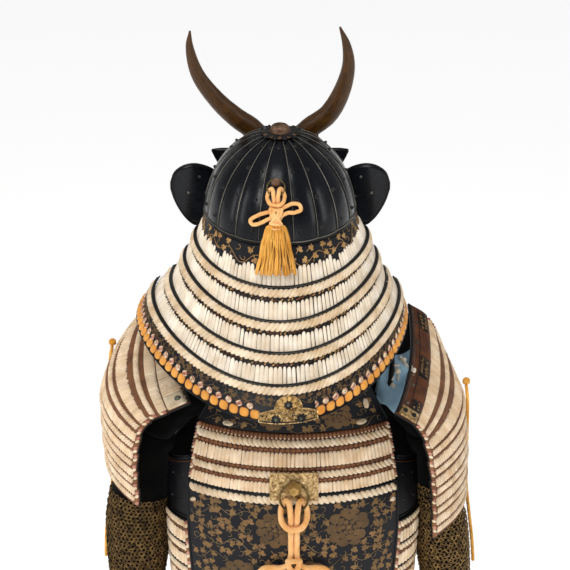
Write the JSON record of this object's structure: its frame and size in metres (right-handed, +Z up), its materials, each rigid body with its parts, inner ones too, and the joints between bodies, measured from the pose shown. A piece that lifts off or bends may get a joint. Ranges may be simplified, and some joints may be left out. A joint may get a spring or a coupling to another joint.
{
  "type": "samurai armour",
  "caption": "Worn samurai armour: horned lacquered helmet with a laced neck guard, laced cuirass and skirt, shoulder guards and mail sleeves, with knotted silk cords.",
  "frame": {"origin": "where the cuirass's shoulder straps rest on the wearer's shoulders, midway between the two straps", "axes": "+Z up, -Y the front of the armour, +X the wearer's left"},
  "size_m": [0.607, 0.4522, 1.137],
  "materials": {
    "black_lacquer": "gloss lacquer over iron and leather",
    "white_lacing": "flat braided silk, aged white, laced over lacquered scales",
    "printed_leather": "smoked deerskin with a stencilled flower scroll",
    "brown_leather": "worn brown leather",
    "horn": "polished buffalo horn",
    "gilt": "old gilt copper, openwork",
    "bronze": "dark patinated copper",
    "amber_silk": "round braided silk cord",
    "mail": "blackened mail on brown cloth",
    "blue_cloth": "plain woven hemp"
  },
  "bodies": {
    "root": {"helmet_bowl": "black_lacquer", "helmet_finial": "bronze", "helmet_horn_left": "horn", "helmet_horn_right": "horn", "neck_lame_1": "printed_leather", "neck_lame_2": "white_lacing", "neck_lame_3": "white_lacing", "neck_lame_4": "white_lacing", "neck_lame_5": "white_lacing", "neck_ornament": "gilt", "helmet_ear_left": "black_lacquer", "helmet_ear_right": "black_lacquer", "helmet_crest": "black_lacquer", "helmet_visor": "black_lacquer", "helmet_ring_post": "bronze", "back_top": "printed_leather", "back_lame_1": "white_lacing", "back_lame_2": "white_lacing", "back_lower": "printed_leather", "front_top": "printed_leather", "front_lame_1": "white_lacing", "front_lame_2": "white_lacing", "front_lower": "printed_leather", "side_plate_left": "black_lacquer", "side_lames_left": "white_lacing", "shoulder_strap_left": "printed_leather", "side_plate_right": "black_lacquer", "side_lames_right": "white_lacing", "shoulder_strap_right": "printed_leather", "back_ring_plate": "gilt", "skirt_flap_1": "white_lacing", "skirt_flap_2": "white_lacing", "skirt_flap_3": "white_lacing", "skirt_flap_4": "white_lacing", "skirt_flap_5": "white_lacing", "skirt_flap_6": "white_lacing", "skirt_flap_7": "white_lacing", "shoulder_guard_crown_left": "brown_leather", "shoulder_guard_lames_left": "white_lacing", "shoulder_cord_left": "amber_silk", "shoulder_cord_knot_left": "amber_silk", "sleeve_shoulder_left": "blue_cloth", "sleeve_mail_left": "mail", "shoulder_guard_crown_right": "brown_leather", "shoulder_guard_lames_right": "white_lacing", "shoulder_cord_right": "amber_silk", "shoulder_cord_knot_right": "amber_silk", "sleeve_shoulder_right": "blue_cloth", "sleeve_mail_right": "mail"},
    "helmet_bow": {"helmet_ring": "gilt", "bow_cord_left": "amber_silk", "bow_cord_right": "amber_silk", "bow_knot": "amber_silk", "bow_tassel": "amber_silk"},
    "back_bow": {"back_ring": "gilt", "back_cord_left": "amber_silk", "back_cord_right": "amber_silk", "back_knot": "amber_silk", "back_tassel_left": "amber_silk", "back_tassel_right": "amber_silk"}
  },
  "joints": [
    {"name": "helmet_ring_swing", "type": "hinge", "parent": "root", "child": "helmet_bow", "pos_m": [0.0256, 0.1093, 0.3085], "axis": [0, 1, 0], "range_deg": [-25, 25]},
    {"name": "back_ring_swing", "type": "hinge", "parent": "root", "child": "back_bow", "pos_m": [-0.0014, 0.1474, -0.172], "axis": [0, 1, 0], "range_deg": [-20, 20]}
  ]
}
